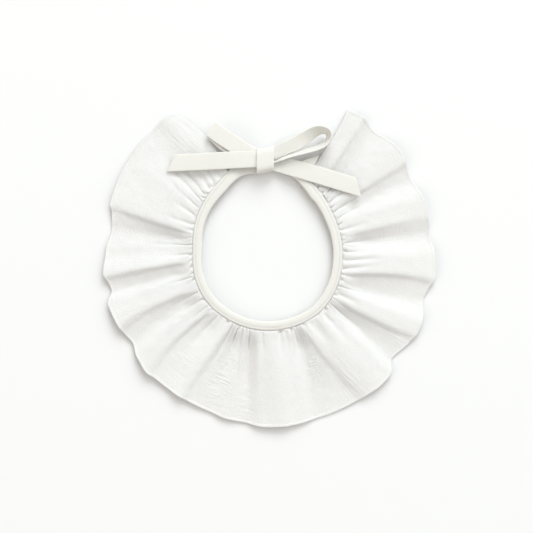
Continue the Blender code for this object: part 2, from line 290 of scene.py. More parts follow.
CREASES = [
    Crease(124.0, 0.20, 1.1, 0.0),
    Crease(130.0, 0.34, 1.4, -0.6),
    Crease(135.0, 0.52, 1.6, -0.9),
    Crease(139.5, 0.50, 1.5, -1.0),
    Crease(144.0, 0.60, 1.2, -1.3),
    Crease(149.0, 0.40, 1.0, -0.8),
    Crease(155.0, 0.26, 1.2, -0.3),
    Crease(162.0, 0.30, 1.1, 0.0),
    Crease(176.5, 0.40, 0.9, 0.0),
    Crease(183.0, 0.24, 1.1, 0.0),
    Crease(199.5, 0.26, 1.2, 0.0),
    Crease(211.0, 0.38, 1.4, 0.3),
    Crease(216.5, 0.30, 1.2, 0.0),
    Crease(223.0, 0.22, 1.0, 0.0),
    Crease(232.0, 0.36, 1.2, 0.0),
    Crease(236.0, 0.24, 1.0, 0.0),
    Crease(244.5, 0.46, 1.3, 0.3),
    Crease(248.5, 0.34, 1.5, 0.0),
    Crease(252.0, 0.42, 1.3, 0.4),
    Crease(257.0, 0.50, 1.5, 0.5),
    Crease(266.0, 0.22, 1.0, 0.0),
    Crease(278.0, 0.26, 1.4, 0.0),
    Crease(282.0, 0.20, 1.1, 0.0),
    Crease(288.0, 0.30, 1.3, 0.0),
    Crease(299.5, 0.30, 1.2, 0.2),
    Crease(303.0, 0.24, 1.0, 0.0),
    Crease(311.0, 0.32, 1.1, 0.0),
    Crease(319.0, 0.34, 1.3, 0.2),
    Crease(328.0, 0.24, 1.2, 0.0),
    Crease(333.0, 0.34, 1.2, 0.3),
    Crease(345.5, 0.30, 1.4, 0.4),
    Crease(351.5, 0.36, 1.4, 0.5),
    Crease(358.5, 0.24, 1.2, 0.0),
    Crease(365.0, 0.30, 1.2, 0.0),
    Crease(375.0, 0.24, 1.1, 0.0),
    Crease(384.5, 0.40, 1.4, 0.3),
    Crease(390.0, 0.40, 1.4, 0.3),
    Crease(398.0, 0.36, 1.3, 0.4),
    Crease(404.0, 0.40, 1.4, 0.3),
    Crease(412.0, 0.24, 1.0, 0.0),
]

RIPPLES = [
    Ripple(128.0, 6.0, 0.60, 0.28, 0.7, 0.1),
    Ripple(151.0, 6.0, 0.34, 0.14, 0.1, 0.9),
    Ripple(163.0, 4.0, 0.55, 0.25, 0.2, 0.4),
    Ripple(205.0, 4.5, 0.84, 0.18, 0.8, 0.2),
    Ripple(214.0, 3.0, 0.35, 0.15, 0.8, 0.2),
    Ripple(233.0, 4.5, 0.66, 0.18, 0.1, 0.8),
    Ripple(250.0, 5.0, 0.64, 0.28, 0.2, 1.0),
    Ripple(262.0, 3.0, 0.80, 0.20, 0.1, 0.7),
    Ripple(291.0, 4.0, 0.46, 0.16, 0.2, 1.0),
    Ripple(302.5, 4.0, 0.76, 0.24, 0.9, 0.3),
    Ripple(327.0, 3.0, 0.80, 0.20, 0.7, 0.1),
    Ripple(369.0, 4.0, 0.45, 0.20, 0.4, 0.3),
    Ripple(413.0, 6.0, 0.60, 0.35, 0.3, 0.4),
]

LEFT_STRAP = [
    Strap(-9.9, 70.1, 4.0, 90.0, 12.4, 0.5),
    Strap(-15.0, 70.4, 3.9, 94.0, 12.2, 0.8),
    Strap(-20.5, 68.7, 4.4, 103.0, 11.2, 1.8),
    Strap(-24.6, 66.2, 5.2, 112.0, 9.8, 7.2),
]

RIGHT_STRAP = [
    Strap(20.6, 65.6, 5.2, 68.0, 9.8, 7.2),
    Strap(16.6, 68.4, 4.4, 74.0, 11.4, 1.8),
    Strap(10.6, 71.2, 3.2, 82.0, 12.3, 0.8),
    Strap(3.7, 72.8, 2.8, 90.0, 12.3, 0.5),
]

LEFT_TAIL = [
    Tape(-8.2, 81.3, 10.2, 91.0, 0.0, 12.4),
    Tape(-18.0, 80.9, 10.4, 92.0, 0.0, 12.7),
    Tape(-28.0, 80.4, 10.4, 92.5, 0.0, 12.8),
    Tape(-38.0, 79.9, 9.6, 92.5, 0.0, 12.8),
    Tape(-48.0, 79.5, 8.4, 92.5, 0.0, 12.8),
    Tape(-60.0, 79.0, 7.8, 92.5, 0.0, 12.8),
    Tape(-73.4, 78.4, 7.0, 92.5, 0.0, 12.8, 3.5),
]

RIGHT_TAIL = [
    Tape(2.0, 79.3, 4.9, 90.0, 0.0, 12.4),
    Tape(9.0, 77.5, 5.4, 76.0, 0.0, 12.7),
    Tape(17.0, 75.0, 7.4, 73.5, 0.0, 12.8),
    Tape(26.0, 72.3, 8.6, 73.3, 0.0, 12.8),
    Tape(38.0, 68.8, 8.6, 73.3, 0.0, 12.8),
    Tape(52.0, 64.6, 8.0, 73.3, 0.0, 12.8),
    Tape(66.4, 60.3, 7.2, 73.3, 0.0, 12.8, 4.2),
]

LEFT_LOOP = [
    Tape(-8.4, 81.6, 8.3, 90.0, 0.0, 12.2),
    Tape(-18.0, 86.8, 8.6, 62.0, 0.0, 12.6),
    Tape(-28.0, 93.3, 8.9, 57.7, 0.0, 12.8),
    Tape(-37.0, 99.2, 8.6, 57.0, 0.0, 12.8),
    Tape(-42.0, 102.8, 8.4, 56.0, 0.0, 12.7),
    Tape(-43.3, 103.7, 7.4, 56.0, 0.0, 12.3),
    Tape(-42.1, 102.6, 6.7, 56.0, 0.0, 12.6),
    Tape(-37.9, 98.0, 6.7, 57.0, 0.0, 12.8),
    Tape(-29.7, 91.0, 7.0, 58.0, 0.0, 12.8),
    Tape(-19.7, 84.2, 7.0, 62.5, 0.0, 12.6),
    Tape(-8.4, 81.2, 6.6, 90.0, 0.0, 12.2),
]
STRAP_CORNER = [
    Tape(18.0, 73.6, 6.3, 104.0, 0.0, 8.0),
    Tape(22.0, 73.7, 6.9, 104.0, 0.0, 10.5),
    Tape(27.5, 74.65, 7.3, 104.0, 0.0, 12.8, -2.5),
    Tape(33.1, 76.15, 7.3, 104.0, 0.0, 12.8, -6.0),
]

RIGHT_LOOP = [
    Tape(2.0, 84.8, 10.6, 292.0, -6.0, 9.2),
    Tape(11.5, 89.2, 10.4, 294.0, -14.0, 9.9),
    Tape(18.8, 92.4, 10.0, 294.0, -16.0, 10.4),
    Tape(27.6, 97.8, 9.5, 297.0, -31.0, 10.6),
    Tape(34.4, 101.8, 9.3, 290.0, -52.0, 11.6),
    Tape(40.2, 102.7, 9.2, 262.0, -70.0, 12.4),
    Tape(44.2, 100.2, 9.2, 215.0, -73.0, 12.8),
    Tape(43.8, 95.6, 9.3, 172.0, -73.0, 12.8),
    Tape(40.0, 91.8, 9.3, 130.0, -71.0, 12.8),
    Tape(34.0, 89.0, 9.2, 114.0, -71.0, 12.8),
    Tape(24.3, 86.4, 8.8, 112.0, -70.0, 11.6),
    Tape(14.5, 83.9, 8.2, 112.0, -62.0, 8.4),
    Tape(2.0, 80.6, 7.4, 100.0, -30.0, 6.0),
]

KNOT = [
    Wrap(-9.5, 70.9, 87.8, 0.90),
    Wrap(-8.9, 70.2, 88.5, 0.97),
    Wrap(-3.2, 71.4, 89.8, 1.0),
    Wrap(2.7, 72.6, 90.8, 0.97),
    Wrap(3.3, 73.2, 90.2, 0.90),
]


# Half of a pressed ribbon's section: places from one edge at -1 to the middle, and the share of its
# thickness that the face rises there.
RIBBON_HALF = [
    (-1.0, 0.0),
    (-0.985, 0.28),
    (-0.94, 0.41),
    (-0.86, 0.46),
    (-0.62, 0.51),
    (-0.3, 0.54),
    (0.0, 0.55),
]


def smooth(t: np.ndarray | float) -> np.ndarray | float:
    """0 to 1 with level ends."""
    t = np.clip(t, 0.0, 1.0)
    return t * t * (3.0 - 2.0 * t)


def mix(a: np.ndarray | float, b: np.ndarray | float, t: np.ndarray | float) -> np.ndarray | float:
    """Between a and b."""
    return a + (b - a) * t


def direction(degrees: np.ndarray | float) -> np.ndarray:
    """The unit vector on the table at an angle, counterclockwise from +X."""
    turn = np.radians(degrees)
    return np.stack([np.cos(turn), np.sin(turn)], axis=-1)


def catmull(values: np.ndarray, places: np.ndarray) -> np.ndarray:
    """Reads a smooth curve through rows of values.

    Args:
        values: The rows, one for each whole place.
        places: Where to read, from 0 to the number of rows less 1.

    Returns:
        One row for each place.
    """
    last = len(values) - 1
    i = np.clip(np.floor(places).astype(int), 0, last - 1)
    t = (places - i)[:, None]
    a, b = values[np.maximum(i - 1, 0)], values[i]
    c, d = values[i + 1], values[np.minimum(i + 2, last)]
    return 0.5 * (2 * b + (c - a) * t + (2 * a - 5 * b + 4 * c - d) * t**2 + (3 * b - a - 3 * c + d) * t**3)


def cloud(x: np.ndarray, y: np.ndarray, seed: int) -> np.ndarray:
    """Smooth noise from -1 to 1 over a plane, one bump for each unit.

    Args:
        x: The first coordinate.
        y: The second coordinate, of the same shape.
        seed: Which noise.

    Returns:
        The noise, of the same shape.
    """
    side = 256
    lattice = np.random.RandomState(seed).uniform(-1.0, 1.0, (side, side))
    i, j = np.floor(x).astype(int), np.floor(y).astype(int)
    s, t = smooth(x - i), smooth(y - j)
    low = mix(lattice[i % side, j % side], lattice[(i + 1) % side, j % side], s)
    high = mix(lattice[i % side, (j + 1) % side], lattice[(i + 1) % side, (j + 1) % side], s)
    return mix(low, high, t)


def neck_edge(angles: np.ndarray) -> tuple[np.ndarray, np.ndarray]:
    """Reads the neck's table.

    Args:
        angles: Places round the neck, in degrees.

    Returns:
        The binding's inner radius and its width there, in millimetres.
    """
    table = np.array([tuple(row) for row in NECK])
    places = np.interp(angles, table[:, 0], np.arange(len(table)))
    rows = catmull(table, places)
    return rows[:, 1], np.interp(angles, table[:, 0], table[:, 2])


def new_piece(
    name: str, points: np.ndarray, faces: Sequence[Sequence[int]], material: bpy.types.Material
) -> bpy.types.Object:
    """Makes one smooth-shaded mesh object at the origin.

    Args:
        name: The object's name.
        points: Its points, in millimetres.
        faces: Its faces, as point numbers.
        material: Its finish.

    Returns:
        The object, linked to the scene.
    """
    mesh = bpy.data.meshes.new(name)
    mesh.from_pydata((np.asarray(points) * MM).tolist(), [], [list(face) for face in faces])
    mesh.materials.append(material)
    mesh.shade_smooth()
    piece = bpy.data.objects.new(name, mesh)
    bpy.context.scene.collection.objects.link(piece)
    return piece


def set_uv(piece: bpy.types.Object, coords: np.ndarray) -> None:
    """Gives a piece a UV map.

    Args:
        piece: The piece.
        coords: One pair for each of its points, in metres of cloth.
    """
    layer = piece.data.uv_layers.new(name="cloth")
    loops = np.empty(len(piece.data.loops), dtype=int)
    piece.data.loops.foreach_get("vertex_index", loops)
    layer.data.foreach_set("uv", coords[loops].astype(np.float32).ravel())


def turn_outwards(piece: bpy.types.Object) -> None:
    """Flips a closed mesh that came out inside out.

    Args:
        piece: The piece.
    """
    mesh = piece.data
    mesh.calc_loop_triangles()
    corners = np.array([[mesh.vertices[k].co[:] for k in t.vertices] for t in mesh.loop_triangles])
    if np.einsum("ij,ij->i", corners[:, 0], np.cross(corners[:, 1], corners[:, 2])).sum() < 0:
        mesh.flip_normals()


@dataclass
class NodeBench:
    """Short calls for building a node tree.

    Attributes:
        tree: The tree that gets the nodes.
    """

    tree: bpy.types.NodeTree

    def add(self, kind: str, **settings: object) -> bpy.types.Node:
        """Adds a node.

        Args:
            kind: Blender's name of the node.
            **settings: Properties to set on it.

        Returns:
            The node.
        """
        node = self.tree.nodes.new(kind)
        for key, value in settings.items():
            setattr(node, key, value)
        return node

    def link(self, source: bpy.types.NodeSocket, target: bpy.types.NodeSocket) -> None:
        """Joins two sockets."""
        self.tree.links.new(source, target)

    def math(self, operation: str, first: object, second: object = None) -> bpy.types.NodeSocket:
        """A math node on sockets or numbers.

        Args:
            operation: Blender's name of the operation.
            first: A socket or a number.
            second: A socket, a number or nothing.

        Returns:
            The result's socket.
        """
        node = self.add("ShaderNodeMath", operation=operation)
        for socket, value in zip(node.inputs, (first, second)):
            if isinstance(value, bpy.types.NodeSocket):
                self.link(value, socket)
            elif value is not None:
                socket.default_value = value
        return node.outputs[0]

    def noise(
        self, coords: bpy.types.NodeSocket, stretch: Sequence[float], detail: float
    ) -> bpy.types.NodeSocket:
        """Adds noise that can be stretched.

        Args:
            coords: The coordinates' socket.
            stretch: Bumps a metre along each axis of the coordinates.
            detail: How much finer noise lies on top.

        Returns:
            The noise's socket, from 0 to 1.
        """
        mapping = self.add("ShaderNodeMapping")
        mapping.inputs["Scale"].default_value = stretch
        self.link(coords, mapping.inputs["Vector"])
        texture = self.add("ShaderNodeTexNoise")
        texture.inputs["Scale"].default_value = 1.0
        texture.inputs["Detail"].default_value = detail
        self.link(mapping.outputs[0], texture.inputs["Vector"])
        return texture.outputs["Fac"]


@dataclass(frozen=True)
class ClothFinish:
    """Plain-woven cotton.

    Attributes:
        name: The finish's name.
        colour: The middle colour.
        drift: How much lighter and darker the colour gets, as a share.
        thread: The distance between threads, in millimetres.
        weave: The height of the weave's bump, in millimetres.
        crepe: The height of the crepe's bump, in millimetres.
        crepe_size: The size of the crepe's puckers along and across the strip, in millimetres.
        glow: How much light passes into the cloth.
        ripple: The height of its crinkles where the piece's "ribs" and "bars" are full, in millimetres.
        glow_depth: How far red, green and blue light get into it, in millimetres.
        roughness: How rough it is, from 0 to 1.
    """

    name: str
    colour: tuple[float, float, float]
    drift: float
    thread: float
    weave: float
    crepe: float
    crepe_size: tuple[float, float]
    glow: float
    ripple: float
    glow_depth: tuple[float, float, float] = (1.2, 1.1, 1.0)
    roughness: float = 0.92

    def make(self) -> bpy.types.Material:
        """Builds the material, which reads the piece's UV map in metres of cloth.

        Returns:
            The material.
        """
        material = bpy.data.materials.new(self.name)
        material.use_nodes = True
        bench = NodeBench(material.node_tree)
        shader = material.node_tree.nodes["Principled BSDF"]
        shader.inputs["Roughness"].default_value = self.roughness
        shader.inputs["Specular IOR Level"].default_value = 0.15
        shader.inputs["Sheen Weight"].default_value = 0.08
        shader.inputs["Sheen Roughness"].default_value = 0.6
        shader.inputs["Subsurface Weight"].default_value = self.glow
        shader.inputs["Subsurface Radius"].default_value = self.glow_depth
        shader.inputs["Subsurface Scale"].default_value = MM
        coords = bench.add("ShaderNodeTexCoord").outputs["UV"]
        split = bench.add("ShaderNodeSeparateXYZ")
        bench.link(coords, split.inputs[0])
        turns = 2.0 * math.pi / (self.thread * MM)
        warp = bench.math("SINE", bench.math("MULTIPLY", split.outputs[0], turns))
        weft = bench.math("SINE", bench.math("MULTIPLY", split.outputs[1], turns))
        weave = bench.math("MULTIPLY", bench.math("MULTIPLY", warp, weft), self.weave * MM)
        puckers = (1.0 / (self.crepe_size[0] * MM), 1.0 / (self.crepe_size[1] * MM), 1.0)
        crepe = bench.math("MULTIPLY", bench.noise(coords, puckers, 2.5), self.crepe * MM)
        slubs = bench.noise(coords, (90.0, 1400.0, 1.0), 1.0)
        strokes = bench.noise(coords, (1400.0, 90.0, 1.0), 1.0)
        threads = bench.math("MULTIPLY", bench.math("ADD", slubs, strokes), 0.25 * self.crepe * MM)
        height = bench.math("ADD", bench.math("ADD", weave, crepe), threads)
        for attribute, ripple in (("ribs", (520.0, 45.0, 1.0)), ("bars", (70.0, 480.0, 1.0))):
            mask = bench.add("ShaderNodeAttribute", attribute_name=attribute).outputs["Fac"]
            wave = bench.math("MULTIPLY", bench.noise(coords, ripple, 1.0), self.ripple * MM)
            height = bench.math("ADD", height, bench.math("MULTIPLY", mask, wave))
        bump = bench.add("ShaderNodeBump")
        bump.inputs["Distance"].default_value = 1.0
        bump.inputs["Strength"].default_value = 1.0
        bench.link(height, bump.inputs["Height"])
        bench.link(bump.outputs[0], shader.inputs["Normal"])
        grain = bench.math("MULTIPLY", bench.noise(coords, (900.0, 900.0, 1.0), 2.0), 0.6)
        broad = bench.math("MULTIPLY", bench.noise(coords, (60.0, 60.0, 1.0), 2.0), 0.4)
        cloudy = bench.math("ADD", broad, grain)
        ramp = bench.add("ShaderNodeValToRGB")
        for element, share in zip(ramp.color_ramp.elements, (-self.drift, self.drift)):
            element.color = tuple(min(c * (1.0 + share), 1.0) for c in self.colour) + (1.0,)
        ramp.color_ramp.elements[0].position = 0.3
        ramp.color_ramp.elements[1].position = 0.7
        bench.link(cloudy, ramp.inputs["Fac"])
        bench.link(ramp.outputs["Color"], shader.inputs["Base Color"])
        return material


@dataclass(frozen=True)
class ThreadFinish:
    """Twisted sewing thread.

    Attributes:
        name: The finish's name.
        colour: Its colour.
        twist: The size of its twist, in millimetres.
    """

    name: str
    colour: tuple[float, float, float]
    twist: float = 0.35

    def make(self) -> bpy.types.Material:
        """Builds the material, with the thread's twist as a bump.

        Returns:
            The material.
        """
        material = bpy.data.materials.new(self.name)
        material.use_nodes = True
        bench = NodeBench(material.node_tree)
        shader = material.node_tree.nodes["Principled BSDF"]
        shader.inputs["Base Color"].default_value = self.colour + (1.0,)
        shader.inputs["Roughness"].default_value = 0.6
        coords = bench.add("ShaderNodeTexCoord").outputs["Object"]
        size = 1.0 / (self.twist * MM)
        bump = bench.add("ShaderNodeBump")
        bump.inputs["Distance"].default_value = 0.05 * MM
        bench.link(bench.noise(coords, (size, size, size), 1.0), bump.inputs["Height"])
        bench.link(bump.outputs[0], shader.inputs["Normal"])
        return material


@dataclass(frozen=True)
class PaperFinish:
    """The plain white ground.

    Attributes:
        name: The finish's name.
        colour: Its colour.
    """

    name: str
    colour: tuple[float, float, float]

    def make(self) -> bpy.types.Material:
        """Builds the material, with a faint grain.

        Returns:
            The material.
        """
        material = bpy.data.materials.new(self.name)
        material.use_nodes = True
        bench = NodeBench(material.node_tree)
        shader = material.node_tree.nodes["Principled BSDF"]
        shader.inputs["Base Color"].default_value = self.colour + (1.0,)
        shader.inputs["Roughness"].default_value = 1.0
        shader.inputs["Specular IOR Level"].default_value = 0.0
        coords = bench.add("ShaderNodeTexCoord").outputs["Object"]
        bump = bench.add("ShaderNodeBump")
        bump.inputs["Distance"].default_value = 0.01 * MM
        bench.link(bench.noise(coords, (900.0, 900.0, 900.0), 2.0), bump.inputs["Height"])
        bench.link(bump.outputs[0], shader.inputs["Normal"])
        return material


@dataclass
class Frill:
    """The gathered strip of double gauze, from the binding's slot to its narrow hem.

    Lengths are in millimetres.

    Attributes:
        cloth: Its finish.
        gathers: How many gathers the neck seam holds.
        steps: Mesh columns to a gather.
        wall: The cloth's thickness.
        tuck: How far outside the binding's inner edge the cloth starts.
        slot_clearance: How far outside the binding the frill's own width starts.
        hem: The hem's width.
        hem_wall: The hem's thickness.
        puff: How deep a full gather is.
        stand: How far the gathers stand up beside the binding.
        floor_height: The lowest that the cloth's middle lies.
        folds_full: Where the folds reach their full height, from 0 at the binding to 1 at the hem.
        near_softness: How much the folds are rounded near the binding, in gathers.
        far_softness: How much they are rounded near the hem, in gathers.
        crumple: The height of the cloth's small unevenness.
        cut: The flat strip's length and width, in metres.
    """

    cloth: bpy.types.Material
    gathers: int = 74
    steps: int = 10
    wall: float = 0.8
    tuck: float = 3.2
    slot_clearance: float = 0.2
    hem: float = 1.7
    hem_wall: float = 1.25
    puff: float = 1.7
    stand: float = 1.1
    floor_height: float = 0.45
    folds_full: float = 0.26
    near_softness: float = 0.22
    far_softness: float = 0.25
    crumple: float = 0.13
    cut: tuple[float, float] = (0.70, 0.07)

    def rows(self) -> np.ndarray:
        """Sets out the rows of points, the first two of them tucked in the binding.

        Returns:
            How far each row is from the binding at 0 to the hem at 1.
        """
        near = np.linspace(0.0, 0.4, 25) ** 1.25 / 0.4**0.25
        far = np.linspace(0.4, 0.965, 21)[1:]
        hem = np.array([0.972, 0.977, 0.984, 0.992, 1.0])
        return np.concatenate([[-0.05, -0.02], near, far, hem])

    def fold_places(self) -> np.ndarray:
        """Sets the fold lines out along the strip, by the length of hem between them.

        Returns:
            Each line's place, in gathers.
        """
        hems = np.array([(fold.hem, fold.reach, fold.hem_height) for fold in FOLDS])
        ends = np.column_stack([direction(hems[:, 0]) * hems[:, 1:2], hems[:, 2]])
        lengths = np.linalg.norm(np.diff(ends, axis=0), axis=1)
        places = np.concatenate([[0.0], np.cumsum(lengths)])
        return places / places[-1] * self.gathers

    def softened(self, grid: np.ndarray, columns: float) -> np.ndarray:
        """Rounds the folds by averaging each point with its neighbours along the strip.

        Args:
            grid: The points, by column and row.
            columns: The average's spread, in columns.

        Returns:
            The rounded points.
        """
        reach = int(3 * columns) + 1
        weights = np.exp(-0.5 * (np.arange(-reach, reach + 1) / columns) ** 2)
        weights /= weights.sum()
        start = 2 * grid[:1] - grid[reach:0:-1]
        end = 2 * grid[-1:] - grid[-2 : -reach - 2 : -1]
        padded = np.concatenate([start, grid, end])
        return sum(w * padded[k : k + len(grid)] for k, w in enumerate(weights))

    def folded(self, u: np.ndarray, v: np.ndarray) -> tuple[np.ndarray, np.ndarray]:
        """The strip with its large folds.

        Args:
            u: Places along the strip, in gathers.
            v: Places across it, from the binding at 0 to the hem at 1.

        Returns:
            The points by column and row, and each column's angle at the neck.
        """
        places = self.fold_places()
        table = np.array([tuple(fold)[1:] for fold in FOLDS])
        i = np.clip(np.searchsorted(places, u, side="right") - 1, 0, len(places) - 2)
        t = (u - places[i]) / (places[i + 1] - places[i])
        start, end = table[i], table[i + 1]
        neck, middle, hem = (mix(start[:, k], end[:, k], t)[:, None] for k in range(3))
        reach, middle_height, hem_height = (
            mix(start[:, k], end[:, k], smooth(t))[:, None] for k in range(3, 6)
        )
        w = np.maximum(v, 0.0)[None, :]
        angle = neck + w * (4 * middle - 3 * neck - hem) + 2 * w * w * (neck + hem - 2 * middle)
        inner, width = (values[:, None] for values in neck_edge(neck[:, 0]))
        edge = inner + width + self.slot_clearance
        inside = mix(inner + self.tuck, edge, np.clip(1.0 + v[None, :] / 0.05, 0.0, 1.0))
        radius = np.where(v[None, :] < 0, inside, mix(edge, reach, w))
        fold = mix(middle_height, hem_height, smooth((w - 0.4) / 0.6))
        height = mix(RING_HEIGHT, fold, smooth(w / self.folds_full))
        place = NECK_CENTRE + direction(angle) * radius[..., None]
        grid = np.concatenate([place, np.broadcast_to(height, radius.shape)[..., None]], axis=-1)
        crisp = self.softened(grid, self.near_softness * self.steps)
        soft = self.softened(grid, self.far_softness * self.steps)
        return mix(crisp, soft, smooth(w / 0.6)[..., None]), neck[:, 0]

    def gathered(self, u: np.ndarray, v: np.ndarray, neck: np.ndarray) -> np.ndarray:
        """The height that the gathers, the long creases and the crumple add.

        Args:
            u: Places along the strip, in gathers.
            v: Places across it.
            neck: Each column's angle at the neck.

        Returns:
            Heights in millimetres, by column and row.
        """
        random = np.random.RandomState(SEED)
        w = np.maximum(v, 0.0)[None, :]
        shift = 0.6 * cloud(u[:, None] * 0.45 + 0 * w, 9.0 * w + 0 * u[:, None], SEED + 1)
        place = u[:, None] + shift
        each = np.clip(np.round(place).astype(int), 0, self.gathers)
        depth = random.choice((0.2, 0.5, 0.8, 1.1, 1.4), self.gathers + 1)[each]
        length = 0.04 + 0.05 * depth * random.uniform(0.4, 2.4, self.gathers + 1)[each]
        pitch = np.gradient(neck, u)
        squeeze = np.clip(np.radians(pitch) * 60.0 / 4.0, 0.35, 1.2)[:, None]
        groove = np.exp(-((np.abs(place - each) / 0.19) ** 1.5))
        valley = 0.2 * groove + 0.08 * np.cos(np.pi * (place - each))
        pocket = groove * np.exp(-((w / 0.035) ** 2))
        height = -self.puff * squeeze * depth * (pocket + valley * np.exp(-((w / length) ** 1.8)))
        for crease in CREASES:
            middle = np.interp(crease.neck, neck, u) + crease.drift * w / crease.reach
            spread = 0.16 + 0.5 * w
            line = np.exp(-(((u[:, None] - middle) / spread) ** 2))
            height = height - crease.depth * line * np.exp(-((w / crease.reach) ** 3)) * smooth(w / 0.04)
        away = 9.7 * u[:, None] + 0 * w
        across = FRILL_DEPTH * w + 0 * u[:, None]
        wrinkle = cloud(away / 9.0, across / 5.0, SEED + 2) + 0.6 * cloud(away / 4.0, across / 3.0, SEED + 3)
        slant = cloud((away + across) / 5.0, (across - away) / 22.0, SEED + 4)
        height = height + self.crumple * (wrinkle + 0.8 * slant) * smooth(w / 0.1)
        stand = self.stand * smooth(w / 0.013) * np.exp(-((w / 0.13) ** 2))
        return height * smooth(w / 0.015) + stand

    def build(self) -> bpy.types.Object:
        """Makes the frill's closed thin shell, flat below where it lies on the table.

        Returns:
            The piece, with its UV map and the masks of its crinkles.
        """
        u = np.linspace(0.0, self.gathers, self.gathers * self.steps + 1)
        v = self.rows()
        grid, neck = self.folded(u, v)
        grid[..., 2] = np.maximum(grid[..., 2] + self.gathered(u, v, neck), self.floor_height)
        along = np.gradient(grid, axis=0)
        across = np.gradient(grid, axis=1)
        normal = np.cross(across, along)
        normal /= np.linalg.norm(normal, axis=-1, keepdims=True)
        normal *= np.sign(np.median(normal[..., 2]))
        from_hem = (1.0 - v)[None, :] * FRILL_DEPTH + 0 * u[:, None]
        from_end = np.minimum(u, self.gathers - u)[:, None] * 6.0 + 0 * v[None, :]
        hemmed = 1.0 - smooth((np.minimum(from_hem, from_end) - self.hem + 0.3) / 0.6)
        half = mix(self.wall, self.hem_wall, hemmed)[..., None] / 2
        top, bottom = grid + normal * half, grid - normal * half
        bottom[..., 2] = np.maximum(bottom[..., 2], 0.02)
        top[..., 2] = np.maximum(top[..., 2], 0.3)
        columns, rows = grid.shape[:2]
        number = np.arange(columns * rows).reshape(columns, rows)
        corners = [number[:-1, :-1], number[1:, :-1], number[1:, 1:], number[:-1, 1:]]
        quads = np.stack(corners, axis=-1).reshape(-1, 4)
        rim = np.concatenate([number[:, 0], number[-1, 1:], number[-2::-1, -1], number[0, -2:0:-1]])
        beyond = np.roll(rim, -1)
        offset = columns * rows
        sides = np.stack([rim, rim + offset, beyond + offset, beyond], axis=-1)
        faces = np.concatenate([quads, quads[:, ::-1] + offset, sides])
        points = np.concatenate([top.reshape(-1, 3), bottom.reshape(-1, 3)])
        piece = new_piece("frill_cloth", points, faces.tolist(), self.cloth)
        strip_run, strip_depth = u[:, None] / self.gathers * self.cut[0], v[None, :] * self.cut[1]
        coords = np.stack(np.broadcast_arrays(strip_run, strip_depth), axis=-1)
        set_uv(piece, np.concatenate([coords.reshape(-1, 2)] * 2))
        self.mask_crinkles(piece, grid, v)
        turn_outwards(piece)
        return piece

    def mask_crinkles(self, piece: bpy.types.Object, grid: np.ndarray, v: np.ndarray) -> None:
        """Writes how strong the crinkles are at each point, as the attributes that the gauze reads.

        Args:
            piece: The frill.
            grid: The middle of the cloth, by column and row.
            v: The rows' places between the binding and the hem.
        """
        place = grid[..., :2] - NECK_CENTRE
        angle = np.degrees(np.arctan2(place[..., 1], place[..., 0])) % 360.0
        angle = np.where(angle < 90.0, angle + 360.0, angle)
        for attribute in ("ribs", "bars"):
            mask = 0
            for ripple in RIPPLES:
                off_angle = ((angle - ripple.angle) / ripple.angle_spread) ** 2
                off_middle = ((v - ripple.middle) / ripple.spread) ** 2
                mask = mask + getattr(ripple, attribute) * np.exp(-off_angle - off_middle)
            layer = piece.data.attributes.new(attribute, "FLOAT", "POINT")
            layer.data.foreach_set("value", np.tile(np.clip(mask, 0.0, 1.0).ravel(), 2))


def run_along(points: np.ndarray) -> np.ndarray:
    """The length of a line of points up to each of them, from 0."""
    return np.concatenate([[0.0], np.cumsum(np.linalg.norm(np.diff(points, axis=0), axis=1))])


def lofted(
    name: str, sections: np.ndarray, material: bpy.types.Material, girth: np.ndarray
) -> bpy.types.Object:
    """Makes a closed solid through sections of equally many points.

    Args:
        name: The piece's name.
        sections: The points, by section and place round it, in millimetres.
        material: Its finish.
        girth: The distance round the section to each of its points, in millimetres.

    Returns:
        The piece, with a UV map in metres of cloth.
    """
    count, around = sections.shape[:2]
    number = np.arange(count * around).reshape(count, around)
    turned = np.roll(number, -1, axis=1)
    quads = np.stack([number[:-1], turned[:-1], turned[1:], number[1:]], axis=-1).reshape(-1, 4)
    faces = quads.tolist() + [number[0, ::-1].tolist(), number[-1].tolist()]
    piece = new_piece(name, sections.reshape(-1, 3), faces, material)
    run = run_along(sections.mean(axis=1))
    coords = np.stack(np.broadcast_arrays(run[:, None], girth[None, :]), axis=-1) * MM
    set_uv(piece, coords.reshape(-1, 2))
    turn_outwards(piece)
    return piece


